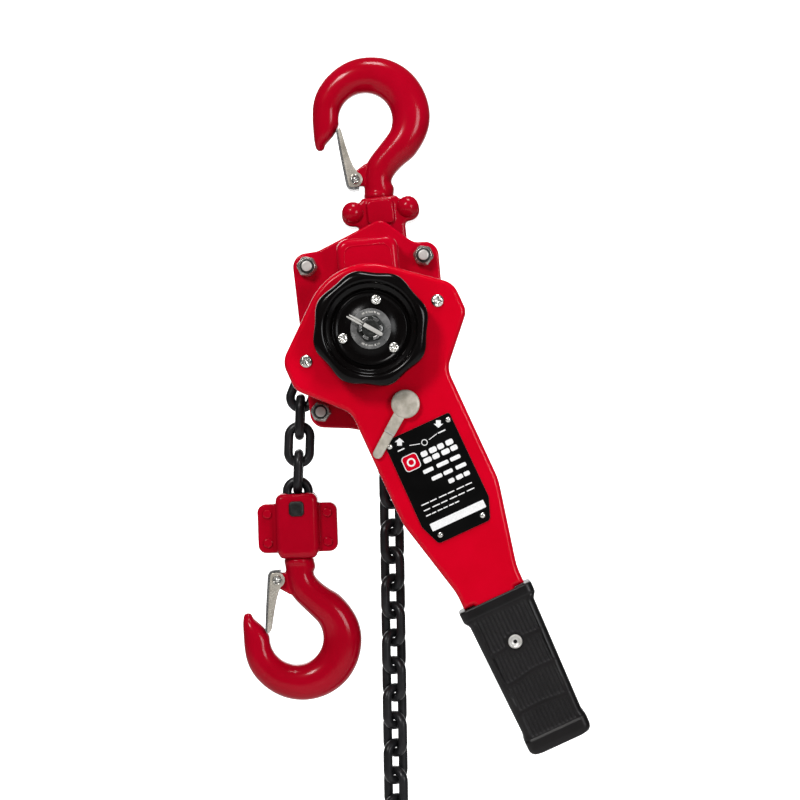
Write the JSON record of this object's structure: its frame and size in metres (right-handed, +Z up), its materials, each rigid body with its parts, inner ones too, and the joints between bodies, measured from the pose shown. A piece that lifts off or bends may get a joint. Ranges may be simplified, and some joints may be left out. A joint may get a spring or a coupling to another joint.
{
  "type": "lever chain hoist",
  "caption": "Hand-operated lever chain hoist: latched top and bottom hooks, ratchet lever with rubber grip, handwheel, load chain over a pocket sheave, and a free end with a ring.",
  "frame": {"origin": "centre of the top hook's bowl, where the hoist hangs", "axes": "+Z up towards the crown of the top hook, +X to the right as seen from the handwheel side, -Y out of the handwheel"},
  "size_m": [0.2216, 0.149, 0.5458],
  "materials": {
    "hook_paint": "gloss red enamel on a forging",
    "body_paint": "gloss red enamel on pressed steel",
    "lever_paint": "gloss red enamel on pressed steel",
    "chain_black": "satin black oxide",
    "zinc": "bright zinc plating",
    "latch_steel": "zinc plated sheet",
    "machined": "machined steel, oiled",
    "handwheel_black": "gloss black enamel",
    "cover_black": "semi-gloss black",
    "washer_grey": "satin grey",
    "dark_steel": "dark phosphate",
    "grip_rubber": "matte black rubber",
    "plate_black": "gloss black print",
    "selector_cast": "matte cast zinc",
    "bush_bronze": "sintered bronze",
    "friction": "moulded friction lining"
  },
  "bodies": {
    "top_hook": {"top_hook": "hook_paint", "top_latch_pin": "zinc", "top_hook_nut": "machined"},
    "top_latch": {"top_latch": "latch_steel"},
    "yoke": {"top_yoke": "hook_paint", "top_yoke_rivets": "hook_paint"},
    "frame": {"rear_side_plate": "body_paint", "front_side_plate": "body_paint", "brake_cover": "body_paint", "gear_cover": "body_paint", "stay_bolts": "zinc", "stay_nuts": "zinc", "spacer_sleeves": "machined", "chain_stripper": "machined", "suspension_pin": "machined", "sheave_bushes": "bush_bronze", "pawl_pins": "machined", "ratchet_disc": "machined"},
    "sheave": {"load_sheave": "machined", "load_gear": "machined", "sheave_links": "chain_black"},
    "reduction_a": {"reduction_gear_a": "machined"},
    "reduction_b": {"reduction_gear_b": "machined"},
    "drive": {"drive_shaft": "machined", "brake_hub": "machined", "friction_discs": "friction", "switch_gear": "machined", "handwheel": "handwheel_black", "handwheel_cover": "cover_black", "handwheel_screws": "zinc", "marked_washer": "washer_grey", "castle_nut": "dark_steel", "split_pin": "zinc"},
    "brake_pawl_a": {"brake_pawl_a": "machined"},
    "brake_pawl_b": {"brake_pawl_b": "machined"},
    "lever": {"lever_rear_shell": "lever_paint", "lever_front_shell": "lever_paint", "lever_screws": "zinc", "lever_grip": "grip_rubber", "rating_plate": "plate_black", "plate_rivets": "zinc"},
    "selector": {"selector_lever": "selector_cast", "switch_pawl": "machined"},
    "load_lean": {"load_chain_lean": "chain_black"},
    "load_link_1": {"load_link_1": "chain_black"},
    "load_link_2": {"load_link_2": "chain_black"},
    "load_link_3": {"load_link_3": "chain_black"},
    "load_link_4": {"load_link_4": "chain_black"},
    "bottom_block": {"bottom_yoke_front": "hook_paint", "bottom_yoke_rear": "hook_paint", "bottom_yoke_rivets": "hook_paint", "chain_pin": "dark_steel"},
    "bottom_hook": {"bottom_hook": "hook_paint", "bottom_latch_pin": "zinc", "bottom_hook_nut": "machined"},
    "bottom_latch": {"bottom_latch": "latch_steel"},
    "slack_lean": {"slack_chain_lean": "chain_black"},
    "slack_upper": {"slack_chain_1": "chain_black"},
    "slack_lower": {"slack_chain_2": "chain_black"},
    "end_ring": {"chain_end_ring": "chain_black"}
  },
  "joints": [
    {"name": "top_latch_pivot", "type": "hinge", "parent": "top_hook", "child": "top_latch", "pos_m": [-0.00666, 0, -0.03965], "axis": [0, 1, 0], "range_deg": [0, 28], "stiffness_Nm_per_rad": 0.25, "springref_deg": -28.65},
    {"name": "top_hook_swivel", "type": "hinge", "parent": "top_hook", "child": "yoke", "pos_m": [0.00986, 0, -0.05928], "axis": [0.108, 0, -0.9942], "continuous": true},
    {"name": "suspension", "type": "hinge", "parent": "yoke", "child": "frame", "pos_m": [0.01234, 0, -0.08215], "axis": [0, -1, 0], "range_deg": [-28, 28]},
    {"name": "load_feed", "type": "hinge", "parent": "frame", "child": "sheave", "pos_m": [0.00471, 0, -0.13954], "axis": [0, -1, 0], "range_deg": [0, 12.5]},
    {"name": "reduction_a_spin", "type": "hinge", "parent": "frame", "child": "reduction_a", "pos_m": [0.00184, 0, -0.10968], "axis": [0, -1, 0], "range_deg": [-25.1, 0]},
    {"name": "reduction_b_spin", "type": "hinge", "parent": "frame", "child": "reduction_b", "pos_m": [0.00758, 0, -0.16941], "axis": [0, -1, 0], "range_deg": [-25.1, 0]},
    {"name": "handwheel_spin", "type": "hinge", "parent": "frame", "child": "drive", "pos_m": [0.00471, 0, -0.13954], "axis": [0, -1, 0], "range_deg": [0, 75.3]},
    {"name": "load_chain_feed", "type": "slide", "parent": "frame", "child": "load_lean", "axis": [0.0619, 0, -0.9981], "range_m": [0, 0.0064]},
    {"name": "slack_chain_feed", "type": "slide", "parent": "frame", "child": "slack_lean", "axis": [0.1673, 0, 0.9859], "range_m": [0, 0.0064]},
    {"name": "brake_pawl_a_pivot", "type": "hinge", "parent": "frame", "child": "brake_pawl_a", "pos_m": [0.0118, -0.03, -0.09315], "axis": [0, -1, 0], "range_deg": [-12, 0], "stiffness_Nm_per_rad": 0.05, "springref_deg": 17.19},
    {"name": "brake_pawl_b_pivot", "type": "hinge", "parent": "frame", "child": "brake_pawl_b", "pos_m": [0.00118, -0.03, -0.1863], "axis": [0, -1, 0], "range_deg": [-12, 0], "stiffness_Nm_per_rad": 0.05, "springref_deg": 17.19},
    {"name": "lever_swing", "type": "hinge", "parent": "frame", "child": "lever", "pos_m": [0.00471, 0, -0.13954], "axis": [0, -1, 0], "continuous": true},
    {"name": "selector_turn", "type": "hinge", "parent": "lever", "child": "selector", "pos_m": [0.0261, -0.06, -0.18584], "axis": [0, -1, 0], "range_deg": [0, 107.6]},
    {"name": "load_link_1_swing", "type": "hinge", "parent": "load_lean", "child": "load_link_1", "pos_m": [-0.04467, 0, -0.18828], "axis": [0.9282, 0, -0.3721], "range_deg": [-18, 18]},
    {"name": "load_link_2_swing", "type": "hinge", "parent": "load_link_1", "child": "load_link_2", "pos_m": [-0.04306, 0, -0.20673], "axis": [0, 1, 0], "range_deg": [-4, 25]},
    {"name": "load_link_3_swing", "type": "hinge", "parent": "load_link_2", "child": "load_link_3", "pos_m": [-0.04362, 0, -0.22472], "axis": [0.9995, 0, -0.0315], "range_deg": [-25, 25]},
    {"name": "load_link_4_swing", "type": "hinge", "parent": "load_link_3", "child": "load_link_4", "pos_m": [-0.04419, 0, -0.24271], "axis": [0, 1, 0], "range_deg": [-5, 25]},
    {"name": "bottom_block_swing", "type": "hinge", "parent": "load_link_4", "child": "bottom_block", "pos_m": [-0.04454, 0, -0.25401], "axis": [0, 1, 0], "range_deg": [-5, 11]},
    {"name": "bottom_hook_swivel", "type": "hinge", "parent": "bottom_block", "child": "bottom_hook", "pos_m": [-0.04367, 0, -0.27899], "axis": [-0.0349, 0, 0.9994], "continuous": true},
    {"name": "bottom_latch_pivot", "type": "hinge", "parent": "bottom_hook", "child": "bottom_latch", "pos_m": [-0.05722, 0, -0.30078], "axis": [0, -1, 0], "range_deg": [0, 28], "stiffness_Nm_per_rad": 0.25, "springref_deg": -28.65},
    {"name": "slack_upper_swing", "type": "hinge", "parent": "slack_lean", "child": "slack_upper", "pos_m": [0.01469, 0, -0.19792], "axis": [0.9703, 0, -0.242], "range_deg": [-12, 12]},
    {"name": "slack_lower_swing", "type": "hinge", "parent": "slack_upper", "child": "slack_lower", "pos_m": [0.0185, 0, -0.33569], "axis": [0.707, 0.7071, 0.0111], "range_deg": [-20, 20]},
    {"name": "end_ring_swing", "type": "hinge", "parent": "slack_lower", "child": "end_ring", "pos_m": [0.02076, 0, -0.47998], "axis": [0.7071, 0.7071, 0], "range_deg": [-30, 30]}
  ],
  "couplings": [
    {"joint": "reduction_a_spin", "follows": "load_feed", "ratio": -2},
    {"joint": "reduction_b_spin", "follows": "load_feed", "ratio": -2},
    {"joint": "handwheel_spin", "follows": "load_feed", "ratio": 6},
    {"joint": "load_chain_feed", "follows": "load_feed", "m_per_rad": 0.02926},
    {"joint": "slack_chain_feed", "follows": "load_feed", "m_per_rad": 0.02926}
  ]
}
